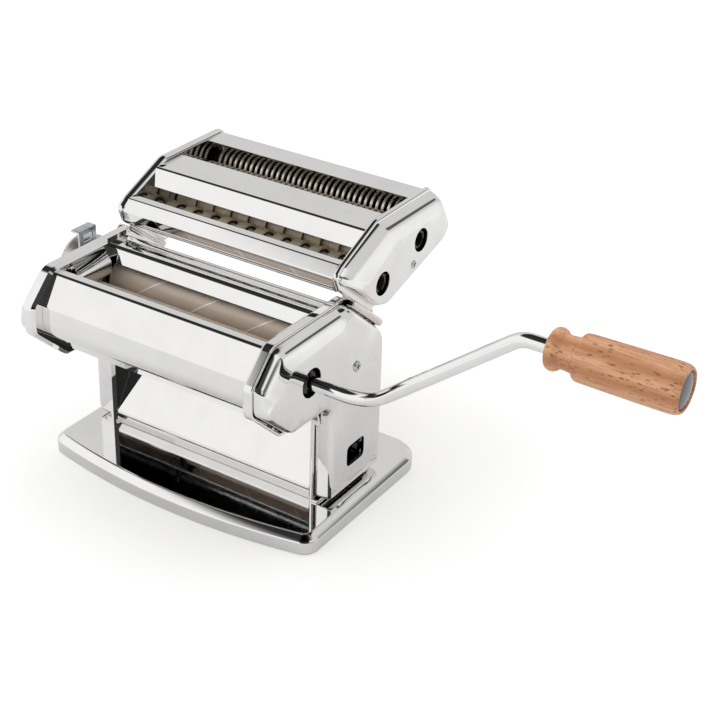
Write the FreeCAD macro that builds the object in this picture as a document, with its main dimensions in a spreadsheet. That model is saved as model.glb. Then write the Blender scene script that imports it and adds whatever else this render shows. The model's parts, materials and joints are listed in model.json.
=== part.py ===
import FreeCAD, Part
import math
import os
import Sketcher

# Hand cranked pasta machine with a removable double cutter.
# Frame: +X along the rollers towards the crank, +Y to the back, +Z up.
# The origin is under the middle of the base, on the table. Millimetres.

DRIVING = dict(
    # pressed base
    base_half=96.0, base_front=54.0, base_bulge=11.5, base_rear=68.0, base_height=12.0,
    base_corner_front=10.0, base_corner_rear=18.0, base_edge=4.0, base_wall=1.4,
    # side plates: the web stands at inner_half, its flanges turn outwards
    inner_half=72.0, gauge=1.6, flange_half=79.0, wide_flange_half=82.8,
    head_top=136.0, top_front=68.0, head_front=86.0, nose_high=118.0, nose_low=101.0,
    chin_back=60.0, chin_height=76.5, leg_front=23.0, leg_rear=34.5, shoulder=108.0,
    # drawn side covers
    cover_half_right=86.0, cover_half_left=88.0, cover_wall=1.0, cover_inset=2.6,
    bevel_wide=7.0, bevel_high=10.5, crank_hole=8.75,
    slot_wide=18.0, slot_high=14.0, slot_y=5.5, slot_z=36.0, cover_screw_y=3.6, cover_screw_z=93.7,
    # sheets between the side plates
    sheet=1.0, lip_front=65.5, lip_back=60.0, lip_top=132.6, lip_drop=119.5,
    panel_nose=78.5, panel_high=117.0, panel_low=103.0, panel_back=62.0, panel_floor=84.0,
    strip_front=20.0, strip_top=132.0, strip_rear=2.0, guide_foot=124.5, rear_wall=30.0,
    rear_floor=79.0, chute_front=21.5, chute_lip=19.0, chute_foot=19.0, chute_slope=60.0, chute_top=101.0,
    # smooth rollers
    roller_radius=14.0, roller_half=69.4, axis_y=41.0, axis_z=104.0, gap=2.0, tilt=10.7,
    journal=5.0, drive_journal=6.5, drive_end=84.0, bush_radius=9.0, gear_half=76.2, gear_wide=5.0,
    roller_gear_tip=15.6, roller_gear_root=12.4, roller_gear_teeth=18.0,
    # sliding carriage of the rear roller and its knob
    gap_travel=1.8, knob_sweep=48.0, block_half=9.0, carriage_bar=3.0, cam_radius=6.0,
    knob_radius=19.3, knob_inner=95.0, knob_outer=105.5, knob_shaft=5.0,
    tab_half=91.0, tab_wide=15.0, tab_top=137.5, tab_press=1.8,
    # crank
    rod_radius=4.0, crank_slope=38.3, crank_out=122.0, crank_rise=67.0,
    crank_bend=42.0, crank_top_bend=16.0, crank_end=280.0,
    grip_start=222.0, grip_length=69.0, grip_radius=13.3, grip_neck=9.8,
    # double cutter
    cutter_radius=10.0, cutter_centres=17.3, cutter_half=69.0, cutter_y=31.4, cutter_z=133.5,
    pair_offset=42.3, cutter_tilt=16.2, wide_pitch=13.0, narrow_pitch=4.0, cut_play=0.25,
    cutter_inner_half=74.0, cutter_plate=2.0, cutter_cover_half=84.0, cutter_hole=7.8,
    cutter_bore=4.1, cutter_journal=5.5, cutter_gear_tip=9.9, cutter_gear_root=7.1,
    rail_sheet=1.2, rail_tip=32.0, cutter_gear_teeth=12.0,
    # running clearances
    running=0.05, loose=0.3,
)

doc = FreeCAD.newDocument("pasta_machine")
sheet = doc.addObject("Spreadsheet::Sheet", "Dims")
for row, (alias, number) in enumerate(DRIVING.items(), start=1):
    sheet.set(f"A{row}", alias)
    sheet.set(f"B{row}", str(number))
    sheet.setAlias(f"B{row}", alias)
doc.recompute()


class Size:
    """A length or angle that knows its value and the sheet expression that gives it."""

    def __init__(self, value, text):
        self.value = float(value)
        self.text = text

    def join(self, other, sign, value, swap=False):
        text = other.text if isinstance(other, Size) else repr(float(other))
        first, second = (text, self.text) if swap else (self.text, text)
        return Size(value, f"({first} {sign} {second})")

    def __add__(self, other):
        return self.join(other, "+", self.value + number(other))

    def __sub__(self, other):
        return self.join(other, "-", self.value - number(other))

    def __mul__(self, other):
        return self.join(other, "*", self.value * number(other))

    def __truediv__(self, other):
        return self.join(other, "/", self.value / number(other))

    def __radd__(self, other):
        return self.join(other, "+", number(other) + self.value, swap=True)

    def __rsub__(self, other):
        return self.join(other, "-", number(other) - self.value, swap=True)

    def __rmul__(self, other):
        return self.join(other, "*", number(other) * self.value, swap=True)

    def __neg__(self):
        return Size(-self.value, f"(0 - {self.text})")


def number(size):
    return size.value if isinstance(size, Size) else float(size)


def cosine(angle):
    return Size(math.cos(math.radians(angle.value)), f"cos({angle.text})")


def tangent(angle):
    return Size(math.tan(math.radians(number(angle))), f"tan({angle.text})")


def sine(angle):
    return Size(math.sin(math.radians(angle.value)), f"sin({angle.text})")


class Dims:
    """Gives every cell of the sheet as a Size."""

    def __getattr__(self, alias):
        return Size(DRIVING[alias], f"Dims.{alias}")


d = Dims()


def bind(thing, prop, size):
    """Ties a property to the sheet, or sets a plain number."""
    if isinstance(size, Size):
        thing.setExpression(prop, size.text)
    else:
        setattr(thing, prop, size)


def new_body(label):
    body = doc.addObject("PartDesign::Body", label)
    body.Label = label
    return body


def origin_feature(body, role):
    return next(f for f in body.Origin.OriginFeatures if f.Role == role)


def new_sketch(body, plane, offset=(0, 0, 0), turn=None):
    """A sketch on one of the body's own planes, shifted by offset in the plane's own axes."""
    sketch = body.newObject("Sketcher::SketchObject", f"{body.Label}_sketch")
    sketch.AttachmentSupport = [(origin_feature(body, plane), "")]
    sketch.MapMode = "FlatFace"
    base = FreeCAD.Vector(*[number(v) for v in offset])
    angle = 0.0 if turn is None else number(turn)
    sketch.AttachmentOffset = FreeCAD.Placement(base, FreeCAD.Rotation(FreeCAD.Vector(0, 0, 1), angle))
    for axis, value in zip("xyz", offset):
        if isinstance(value, Size):
            sketch.setExpression(f"AttachmentOffset.Base.{axis}", value.text)
    if isinstance(turn, Size):
        sketch.setExpression("AttachmentOffset.Rotation.Angle", turn.text)
    return sketch


def apply_rules(sketch, rules):
    """Adds constraints in one go. rules is a list of (constraint, size) pairs."""
    first = sketch.ConstraintCount
    sketch.addConstraint([rule for rule, size in rules])
    for index, (rule, size) in enumerate(rules, start=first):
        if isinstance(size, Size):
            sketch.setExpression(f"Constraints[{index}]", size.text)


def point_rules(geo, end, a, b):
    """Fixes a point of the geometry at a, b from the sketch's origin."""
    return [(Sketcher.Constraint(kind, -1, 1, geo, end, number(size)), size)
            for kind, size in (("DistanceX", a), ("DistanceY", b))]


def arc_between(start, stop, reach):
    """The arc from start to stop, turning left when reach is positive; it runs anticlockwise."""
    chord = stop - start
    rise = math.sqrt(max(reach * reach - chord.Length ** 2 / 4, 0))
    side = FreeCAD.Vector(-chord.y, chord.x, 0).normalize()
    centre = (start + stop) * 0.5 + side * math.copysign(rise, reach)
    first, last = (start, stop) if reach > 0 else (stop, start)
    begin = math.atan2(first.y - centre.y, first.x - centre.x)
    finish = math.atan2(last.y - centre.y, last.x - centre.x)
    circle = Part.Circle(centre, FreeCAD.Vector(0, 0, 1), abs(reach))
    return Part.ArcOfCircle(circle, begin, finish)


def draw_profile(sketch, points, closed=True):
    """An outline, closed or open. Each point is (a, b) or (a, b, radius): the radius makes the stretch
    to the next point an arc, turning left when it is positive and right when it is negative."""
    shapes, ends, rules = [], [], []
    for i, point in enumerate(points if closed else points[:-1]):
        following = points[(i + 1) % len(points)]
        start = FreeCAD.Vector(number(point[0]), number(point[1]), 0)
        stop = FreeCAD.Vector(number(following[0]), number(following[1]), 0)
        if len(point) == 2:
            shapes.append(Part.LineSegment(start, stop))
            ends.append((1, 2))
            continue
        reach = number(point[2])
        shapes.append(arc_between(start, stop, reach))
        ends.append((1, 2) if reach > 0 else (2, 1))
        radius = Size(abs(reach), point[2].text if reach > 0 else f"(0 - {point[2].text})") \
            if isinstance(point[2], Size) else abs(reach)
        rules.append((Sketcher.Constraint("Radius", i, abs(reach)), radius))
    sketch.addGeometry(shapes, False)
    for i, (begin, finish) in enumerate(ends):
        rules += point_rules(i, begin, points[i][0], points[i][1])
        if closed or i < len(ends) - 1:
            j = (i + 1) % len(ends)
            rules.append((Sketcher.Constraint("Coincident", i, finish, j, ends[j][0]), None))
        else:
            rules += point_rules(i, finish, points[-1][0], points[-1][1])
    apply_rules(sketch, rules)


def draw_circle(sketch, a, b, radius):
    centre = FreeCAD.Vector(number(a), number(b), 0)
    geo = sketch.addGeometry(Part.Circle(centre, FreeCAD.Vector(0, 0, 1), number(radius)), False)
    apply_rules(sketch, [(Sketcher.Constraint("Radius", geo, number(radius)), radius)]
                + point_rules(geo, 3, a, b))


def add_pad(body, sketch, length, reverse=False):
    pad = body.newObject("PartDesign::Pad", f"{body.Label}_pad")
    pad.Profile = sketch
    pad.Length = number(length)
    bind(pad, "Length", length)
    pad.Reversed = reverse
    doc.recompute()
    return pad


def add_pocket(body, sketch, length, reverse=False):
    """Cuts, and stops the build if nothing was cut."""
    before = body.Shape.Volume
    pocket = body.newObject("PartDesign::Pocket", f"{body.Label}_pocket")
    pocket.Profile = sketch
    pocket.Length = number(length)
    bind(pocket, "Length", length)
    pocket.Reversed = reverse
    doc.recompute()
    if body.Shape.Volume > before - 1e-6:
        raise RuntimeError(f"{body.Label}: a pocket cut nothing")
    return pocket


def add_spin(body, sketch, kind="Revolution", axis="H_Axis"):
    feature = body.newObject(f"PartDesign::{kind}", f"{body.Label}_{kind.lower()}")
    feature.Profile = sketch
    feature.ReferenceAxis = (sketch, [axis])
    feature.Angle = 360.0
    doc.recompute()
    return feature


def edge_names(shape, test):
    return [f"Edge{i}" for i, edge in enumerate(shape.Edges, start=1) if test(edge)]


def face_names(shape, test):
    return [f"Face{i}" for i, face in enumerate(shape.Faces, start=1) if test(face)]


def along_x(edge, y, z):
    """True for an edge parallel to X that passes through y, z."""
    ends = [v.Point for v in edge.Vertexes]
    if len(ends) != 2 or abs(ends[0].x - ends[1].x) < 1e-6:
        return False
    return all(abs(p.y - number(y)) < 1e-3 and abs(p.z - number(z)) < 1e-3 for p in ends)


def add_fillet(body, feature, names, radius, kind="Fillet"):
    prop = "Radius" if kind == "Fillet" else "Size"
    fillet = body.newObject(f"PartDesign::{kind}", f"{body.Label}_{kind.lower()}")
    fillet.Base = (feature, names)
    setattr(fillet, prop, number(radius))
    bind(fillet, prop, radius)
    doc.recompute()
    return fillet


def round_corners(body, feature, corners):
    """Fillets edges parallel to X. corners is a list of (y, z, radius)."""
    for y, z, radius in corners:
        names = edge_names(feature.Shape, lambda edge: along_x(edge, y, z))
        feature = add_fillet(body, feature, names, radius)
    return feature


def add_shell(body, feature, names, wall, join=1):
    """Hollows inwards and leaves the named faces open."""
    before = body.Shape.Volume
    shell = body.newObject("PartDesign::Thickness", f"{body.Label}_shell")
    shell.Base = (feature, names)
    shell.Value = number(wall)
    bind(shell, "Value", wall)
    shell.Reversed = True
    shell.Mode = 0
    shell.Join = join
    doc.recompute()
    if not body.Shape.Volume < before:
        raise RuntimeError(f"{body.Label}: the shell grew")
    return shell


def flat_edge(edge, axis, value):
    """True for an edge that lies square to the axis at that value."""
    box = edge.BoundBox
    low, high = getattr(box, f"{axis}Min"), getattr(box, f"{axis}Max")
    return abs(low - number(value)) < 1e-3 and abs(high - number(value)) < 1e-3


def flat_at(face, axis, value):
    """True for a plane face square to the axis at that value."""
    if face.Surface.TypeId != "Part::GeomPlane":
        return False
    box = face.BoundBox
    low, high = getattr(box, f"{axis}Min"), getattr(box, f"{axis}Max")
    return abs(low - number(value)) < 1e-3 and abs(high - number(value)) < 1e-3


def pad_x(label_or_body, points, start, length, reverse=False):
    """Pads an outline in Y, Z along X, from start."""
    body = new_body(label_or_body) if isinstance(label_or_body, str) else label_or_body
    sketch = new_sketch(body, "YZ_Plane", (0, 0, start))
    draw_profile(sketch, points)
    return body, add_pad(body, sketch, length, reverse)


def turned(label_or_body, profile, y, z):
    """Spins a profile of (x, radius) points about the line through y, z parallel to X."""
    body = new_body(label_or_body) if isinstance(label_or_body, str) else label_or_body
    sketch = new_sketch(body, "XY_Plane", (0, y, z))
    draw_profile(sketch, profile)
    return body, add_spin(body, sketch)


def drill_x(body, holes, start, length, reverse=False):
    """Cuts round holes (y, z, radius) along X."""
    sketch = new_sketch(body, "YZ_Plane", (0, 0, start))
    for y, z, radius in holes:
        draw_circle(sketch, y, z, radius)
    return add_pocket(body, sketch, length, reverse)


def x_profile(side, points):
    """Mirrors a profile of (x, radius) points to the left when side is -1."""
    return points if side > 0 else [(-p[0], p[1]) for p in reversed(points)]


SIDES = (("right", 1), ("left", -1))
web_out = d.inner_half + d.gauge
foot_top = d.base_height + d.gauge

# Pressed base: a bowed front edge, wide rear corners, open below.
base = new_body("base_plate")
sketch = new_sketch(base, "XY_Plane")
front_edge = -d.base_front
bow = DRIVING["base_half"] ** 2 / (2 * DRIVING["base_bulge"]) + DRIVING["base_bulge"] / 2
bow_radius = Size(bow, "(Dims.base_half^2 / (2 * Dims.base_bulge) + Dims.base_bulge / 2)")
draw_profile(sketch, [
    (-d.base_half, front_edge, bow_radius),
    (d.base_half, front_edge),
    (d.base_half, d.base_rear),
    (-d.base_half, d.base_rear),
])
block = add_pad(base, sketch, d.base_height)


def upright_edge(x, y):
    def test(edge):
        ends = [v.Point for v in edge.Vertexes]
        if len(ends) != 2 or abs(ends[0].z - ends[1].z) < 1e-6:
            return False
        return all(abs(p.x - number(x)) < 1e-3 and abs(p.y - number(y)) < 1e-3 for p in ends)
    return test


for x in (-d.base_half, d.base_half):
    block = add_fillet(base, block, edge_names(block.Shape, upright_edge(x, front_edge)), d.base_corner_front)
    block = add_fillet(base, block, edge_names(block.Shape, upright_edge(x, d.base_rear)), d.base_corner_rear)
top_rim = edge_names(block.Shape, lambda e: flat_edge(e, "Z", d.base_height))
block = add_fillet(base, block, top_rim, d.base_edge, "Chamfer")
add_shell(base, block, face_names(block.Shape, lambda f: flat_at(f, "Z", 0)), d.base_wall)


def outward(side, inner, outer):
    """Start and length of a pad that runs from inner to outer on one side of the machine."""
    return (inner if side > 0 else -inner), outer - inner, side < 0


def side_pad(label_or_body, side, points, inner, outer):
    start, length, reverse = outward(side, inner, outer)
    return pad_x(label_or_body, points, start, length, reverse)


def side_drill(body, side, holes, inner, outer):
    start, length, reverse = outward(side, inner, outer)
    return drill_x(body, holes, start, length, not reverse)


def side_pocket(body, side, points, inner, outer):
    start, length, reverse = outward(side, inner, outer)
    sketch = new_sketch(body, "YZ_Plane", (0, 0, start))
    draw_profile(sketch, points)
    return add_pocket(body, sketch, length, not reverse)


def side_turned(label_or_body, side, profile, y, z):
    """Spins (half, radius) points about an axis along X, mirrored on the left."""
    points = [(p[0] if side > 0 else -p[0], p[1]) for p in profile]
    return turned(label_or_body, points if side > 0 else points[::-1], y, z)


def rectangle(y_low, y_high, z_low, z_high):
    return [(y_low, z_low), (y_high, z_low), (y_high, z_high), (y_low, z_high)]


def strip(points, thickness):
    """Outline of a folded sheet: points is the line of its right-hand face, given as (a, b).
    The other face lies thickness to the left of the way the line runs."""
    values = [(number(a), number(b)) for a, b in points]
    normals = []
    for (a0, b0), (a1, b1) in zip(values, values[1:]):
        length = math.hypot(a1 - a0, b1 - b0)
        normals.append(((b0 - b1) / length, (a1 - a0) / length))
    other = []
    for i, (a, b) in enumerate(points):
        before = normals[max(i - 1, 0)]
        after = normals[min(i, len(normals) - 1)]
        scale = 1 + before[0] * after[0] + before[1] * after[1]
        other.append((a + thickness * ((before[0] + after[0]) / scale),
                      b + thickness * ((before[1] + after[1]) / scale)))
    return list(points) + other[::-1]


# The rollers' centre line leans by tilt; the rear roller slides along it.
closed_y, closed_z = cosine(d.tilt), sine(d.tilt)
front_y, front_z = -d.axis_y, d.axis_z
centres = d.roller_radius * 2 + d.gap
rear_y, rear_z = front_y + centres * closed_y, front_z + centres * closed_z
half_sweep = d.knob_sweep / 2
throw = d.gap_travel / (2 * sine(half_sweep))
knob_y = rear_y - throw * sine(half_sweep) * closed_y
knob_z = rear_z - throw * sine(half_sweep) * closed_z
slope_fall = (d.head_top - d.shoulder) / d.leg_rear


def slope_height(y):
    """Height of the side plates' sloped rear edge at y."""
    return d.head_top - slope_fall * y


def leaning(y, z, along, across):
    """The point reached from y, z by going along and across the rollers' centre line."""
    return y + along * closed_y - across * closed_z, z + along * closed_z + across * closed_y


def tilted_box(y, z, along, across_low, across_high, shift_low=0, shift_high=0):
    """A box whose long sides run along the rollers' centre line."""
    corners = [(-(along + shift_low), across_low), (along + shift_high, across_low),
               (along + shift_high, across_high), (-(along + shift_low), across_high)]
    return [leaning(y, z, a, b) for a, b in corners]


plate_outline = [
    (0.0, d.head_top), (-d.top_front, d.head_top), (-d.head_front, d.nose_high), (-d.head_front, d.nose_low),
    (-d.chin_back, d.chin_height), (-d.leg_front, d.chin_height), (-d.leg_front, d.base_height),
    (d.leg_rear, d.base_height), (d.leg_rear, d.shoulder),
]
tie_rods = [(-56.0, 84.5), (22.0, 84.0), (27.0, 24.0)]
tie_rod = 3.0
block_window = d.block_half + d.running
for name, side in SIDES:
    # Side plate: a web with flanges turned outwards all round, wider along the rear slope.
    plate, block = side_pad(f"side_plate_{name}", side, plate_outline, d.inner_half, d.flange_half)
    block = round_corners(plate, block, [
        (0.0, d.head_top, 5.0), (-d.top_front, d.head_top, 9.0), (-d.head_front, d.nose_high, 6.0),
        (-d.head_front, d.nose_low, 8.0), (-d.chin_back, d.chin_height, 9.0),
        (-d.leg_front, d.chin_height, 10.0), (d.leg_rear, d.shoulder, 6.0)])
    rim = edge_names(block.Shape, lambda e: flat_edge(e, "X", side * d.inner_half))
    block = add_fillet(plate, block, rim, 1.8, "Chamfer")
    block = add_shell(plate, block, face_names(block.Shape, lambda f: flat_at(f, "X", side * d.flange_half)),
                      d.gauge, 0)
    lug = [(y, slope_height(y) - drop) for y, drop in ((29.0, 0.0), (6.0, 0.0), (6.0, 2.0), (29.0, 2.0))]
    side_pad(plate, side, lug, d.flange_half - 1.0, d.wide_flange_half)
    front_leg = rectangle(-d.leg_front - 1.0, -d.leg_front + 8.0, foot_top, d.chin_height - 12.0)
    side_pocket(plate, side, front_leg, d.inner_half + 3.6, d.flange_half + 1.0)
    side_drill(plate, side, [(front_y, front_z, d.bush_radius)], d.inner_half - 1.0, web_out + 1.0)
    window = tilted_box(rear_y, rear_z, d.block_half, -block_window, block_window,
                        d.gap_travel + d.running, d.running)
    side_pocket(plate, side, window, d.inner_half - 1.0, web_out + 1.0)

    # Side cover: one drawn shell with a bevelled top.
    inset = d.cover_inset
    reach = d.cover_half_right if side > 0 else d.cover_half_left
    cover_outline = [
        (-4.7, d.head_top - inset), (-d.top_front + 1.1, d.head_top - inset),
        (-d.head_front + inset, d.nose_high - 1.1), (-d.head_front + inset, d.nose_low + 1.1),
        (-d.chin_back + 1.0, d.chin_height + inset), (-d.leg_front + inset, d.chin_height + inset),
        (-d.leg_front + inset, d.base_height + inset), (d.leg_rear - inset, d.base_height + inset),
        (d.leg_rear - inset, d.shoulder - 4.3),
    ]
    cover, block = side_pad(f"side_cover_{name}", side, cover_outline, web_out + 0.3, reach)
    block = round_corners(cover, block, [
        (cover_outline[0][0], cover_outline[0][1], 6.0), (cover_outline[1][0], cover_outline[1][1], 8.0),
        (cover_outline[2][0], cover_outline[2][1], 6.0), (cover_outline[3][0], cover_outline[3][1], 8.0),
        (cover_outline[4][0], cover_outline[4][1], 8.0), (cover_outline[5][0], cover_outline[5][1], 11.0),
        (cover_outline[8][0], cover_outline[8][1], 12.0)])
    start, length, reverse = outward(side, web_out, reach)
    sketch = new_sketch(cover, "XZ_Plane", (0, 0, 100.0))
    top = d.head_top - inset
    bevel = [(reach - d.bevel_wide, top), (reach, top - d.bevel_high), (reach + 2.0, top - d.bevel_high),
             (reach + 2.0, top + 2.0), (reach - d.bevel_wide, top + 2.0)]
    draw_profile(sketch, [(x if side > 0 else -x, z) for x, z in bevel])
    block = add_pocket(cover, sketch, 200.0)
    rim = edge_names(block.Shape, lambda e: flat_edge(e, "X", side * reach))
    block = add_fillet(cover, block, rim, 2.2, "Chamfer")
    inner = face_names(block.Shape, lambda f: flat_at(f, "X", side * (web_out + 0.3)))
    add_shell(cover, block, inner, d.cover_wall, 0)
    if side > 0:
        holes = [(front_y, front_z, d.crank_hole), (d.cover_screw_y, d.cover_screw_z, 2.0)]
    else:
        holes = [(knob_y, knob_z, d.knob_shaft + 2.0), (d.cover_screw_y, d.cover_screw_z - 12.0, 2.0)]
    side_drill(cover, side, holes, web_out, reach + 1.0)
    half_wide, half_high = d.slot_wide / 2, d.slot_high / 2
    corner = 3.0
    slot = [(d.slot_y - half_wide + corner, d.slot_z - half_high), (d.slot_y + half_wide - corner, d.slot_z - half_high, corner),
            (d.slot_y + half_wide, d.slot_z - half_high + corner), (d.slot_y + half_wide, d.slot_z + half_high - corner, corner),
            (d.slot_y + half_wide - corner, d.slot_z + half_high), (d.slot_y - half_wide + corner, d.slot_z + half_high, corner),
            (d.slot_y - half_wide, d.slot_z + half_high - corner), (d.slot_y - half_wide, d.slot_z - half_high + corner, corner)]
    side_pocket(cover, side, slot, web_out, reach + 1.0)


def folded(label, points, radius=2.5, half=d.inner_half - 0.1):
    """A folded sheet across the machine. points is its outer face, the sheet lies to the left."""
    body, block = pad_x(label, strip(points, d.sheet), -half, half * 2)
    values = [(number(y), number(z)) for y, z in points]
    other = strip(points, d.sheet)[len(points):][::-1]
    for i in range(1, len(points) - 1):
        (y0, z0), (y1, z1), (y2, z2) = values[i - 1:i + 2]
        left_turn = (y1 - y0) * (z2 - z1) - (z1 - z0) * (y2 - y1) > 0
        thick = number(d.sheet)
        near, far = (radius + thick, radius) if left_turn else (radius, radius + thick)
        block = round_corners(body, block, [(points[i][0], points[i][1], near), (other[i][0], other[i][1], far)])
    return body


folded("front_panel", [
    (-54.0, d.lip_drop), (-d.lip_back, d.lip_top), (-d.lip_front, d.lip_top),
    (-d.panel_nose, d.panel_high), (-d.panel_nose, d.panel_low), (-d.panel_back, d.panel_floor)], 1.5)
folded("rear_panel", [
    (d.rear_wall, d.rear_floor), (d.rear_wall, 105.0), (d.strip_rear, d.strip_top),
    (-d.strip_front, d.strip_top), (-d.strip_front - 3.5, d.guide_foot)], 1.5)
chute_rear = (d.chute_top - d.chute_lip) / tangent(d.chute_slope) - d.chute_front
folded("chute_plate", [
    (chute_rear, d.chute_top + 3.0), (chute_rear, d.chute_top), (-d.chute_front, d.chute_lip),
    (-d.chute_foot, foot_top + 0.3)])


def touching(y, z, angle, play):
    """A point just off the smooth roller at y, z."""
    reach = number(d.roller_radius) + play
    return (y + reach * math.cos(math.radians(angle)), z + reach * math.sin(math.radians(angle)))


scrapers = new_body("roller_scrapers")
for (tip_y, tip_z), (foot_y, foot_z) in (
        (touching(front_y, front_z, -112.0, 0.4), (-52.0, 79.0)), (touching(rear_y, rear_z, -78.0, 0.4), (-2.0, 81.0))):
    pad_x(scrapers, strip([(tip_y, tip_z), (foot_y, foot_z)], 1.2), -d.inner_half + 0.1, d.inner_half * 2 - 0.2)


def bar(label, y, z, radius, half):
    """A round bar across the machine."""
    return turned(label, [(-half, 0.0), (half, 0.0), (half, radius), (-half, radius)], y, z)[0]


# Tie rods hold the side plates apart, each with a nut outside each web.
rods = new_body("tie_rods")
nuts = new_body("tie_rod_nuts")
for y, z in tie_rods:
    turned(rods, [(-d.inner_half, 0.0), (d.inner_half, 0.0), (d.inner_half, tie_rod), (-d.inner_half, tie_rod)], y, z)
    for name, side in SIDES:
        hexagon = [(y + 3.4 * math.cos(math.radians(60 * i)), z + 3.4 * math.sin(math.radians(60 * i)))
                   for i in range(6)]
        side_pad(nuts, side, hexagon, web_out, web_out + 1.6)

# Dough guides close the ends of the feed slot and stop just above the rollers.
for name, side in SIDES:
    guide = new_body(f"dough_guide_{name}")
    low = front_z + d.roller_radius + 0.7
    line = [(d.inner_half - 0.1, 133.6), (d.inner_half - 1.0, 131.8), (d.inner_half - 5.0, 126.0),
            (d.inner_half - 5.0, low)]
    section = strip(line[::-1] if side > 0 else [(-x, z) for x, z in line], d.sheet)
    sketch = new_sketch(guide, "XZ_Plane", (0, 0, 53.0))
    draw_profile(sketch, section)
    add_pad(guide, sketch, 27.0, True)

# Front roller: drum, plain journal on the left, hollow drive journal on the right.
drum = d.roller_half
front = new_body("front_roller")
turned(front, [
    (-web_out - 1.6, 0.0), (-web_out - 1.6, d.journal), (-drum, d.journal), (-drum, d.roller_radius),
    (drum, d.roller_radius), (drum, d.drive_journal), (d.drive_end, d.drive_journal),
    (d.drive_end, d.rod_radius + 0.1), (d.drive_end - 20.0, d.rod_radius + 0.1), (d.drive_end - 20.0, 0.0)],
    front_y, front_z)
side_pocket(front, 1, rectangle(front_y - 1.55, front_y + 1.55, front_z - 8.0, front_z + 8.0),
            d.drive_end - 4.5, d.drive_end + 1.0)
gear_end = d.gear_half + d.gear_wide
turned("rear_roller", [
    (-web_out - 1.6, 0.0), (-web_out - 1.6, d.journal), (-drum, d.journal), (-drum, d.roller_radius),
    (drum, d.roller_radius), (drum, d.journal), (gear_end + 1.0, d.journal), (gear_end + 1.0, 0.0)],
    rear_y, rear_z)

# Bushes of the front roller, flanged inside the webs.
for name, side in SIDES:
    bore = (d.drive_journal if side > 0 else d.journal) + d.running
    side_turned(f"roller_bush_{name}", side, [
        (d.inner_half - 1.0, bore), (web_out + 1.2, bore), (web_out + 1.2, d.bush_radius),
        (d.inner_half - 1.0, d.bush_radius)], front_y, front_z)

# Bearing blocks of the rear roller slide in slanted windows of the side plates.
block_out = web_out + 1.8
cam_start = d.gear_half
for name, side in SIDES:
    reach = block_out if side > 0 else cam_start + 3.4
    block = new_body(f"bearing_block_{name}")
    side_pad(block, side, tilted_box(rear_y, rear_z, d.block_half, -d.block_half, d.block_half),
             d.inner_half - 1.0, reach)
    side_pad(block, side, tilted_box(rear_y, rear_z, d.block_half, -13.5, 11.0, 2.0, 10.5),
             d.inner_half - 1.8, d.inner_half - 0.3)
    bar_y, bar_z = leaning(rear_y, rear_z, 15.5, -9.5)
    side_drill(block, side, [(rear_y, rear_z, d.journal + d.running)], d.inner_half - 3.0, web_out + 2.0)
    side_drill(block, side, [(bar_y, bar_z, d.carriage_bar)], d.inner_half - 3.0, d.inner_half)
    if side < 0:
        cam_y, cam_z = leaning(rear_y, rear_z, 0.0, 0.0)
        half_slot = d.cam_radius + d.running
        slot = tilted_box(rear_y, rear_z, half_slot, -d.block_half - 1.0, d.block_half + 1.0)
        side_pocket(block, side, slot, cam_start, reach + 1.0)
end = d.inner_half - 0.4
turned("carriage_bar", [(-end, 0.0), (end, 0.0), (end, d.carriage_bar), (-end, d.carriage_bar)], bar_y, bar_z)


def gear(label, y, z, turn, side, start, width, tip, root, teeth, bore):
    """A spur gear drawn on the X axis and placed at y, z; a tooth points along turn degrees."""
    body = new_body(label)
    first, length, reverse = outward(side, start, start + width)
    sketch = new_sketch(body, "YZ_Plane", (0, 0, first))
    draw_circle(sketch, 0.0, 0.0, root)
    draw_circle(sketch, 0.0, 0.0, bore)
    add_pad(body, sketch, length, reverse)
    sketch = new_sketch(body, "YZ_Plane", (0, 0, first))
    depth = tip - root
    foot, crest = depth * 0.46, depth * 0.19
    draw_profile(sketch, [(root - 0.4, -foot), (tip, -crest), (tip, crest), (root - 0.4, foot)])
    tooth = add_pad(body, sketch, length, reverse)
    ring = body.newObject("PartDesign::PolarPattern", f"{label}_teeth")
    ring.Originals = [tooth]
    ring.Axis = (origin_feature(body, "X_Axis"), [""])
    ring.Angle = 360.0
    ring.Occurrences = int(number(teeth))
    ring.setExpression("Occurrences", teeth.text)
    body.Tip = ring
    body.Placement = FreeCAD.Placement(FreeCAD.Vector(0, number(y), number(z)),
                                       FreeCAD.Rotation(FreeCAD.Vector(1, 0, 0), number(turn)))
    body.setExpression("Placement.Base.y", y.text)
    body.setExpression("Placement.Base.z", z.text)
    doc.recompute()
    return body


half_pitch = 180.0 / d.roller_gear_teeth.value
gear("roller_gear_front", front_y, front_z, d.tilt, 1, d.gear_half, d.gear_wide,
     d.roller_gear_tip, d.roller_gear_root, d.roller_gear_teeth, d.drive_journal)
gear("roller_gear_rear", rear_y, rear_z, d.tilt + 180.0 + half_pitch, 1, d.gear_half, d.gear_wide,
     d.roller_gear_tip, d.roller_gear_root, d.roller_gear_teeth, d.journal)

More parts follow.
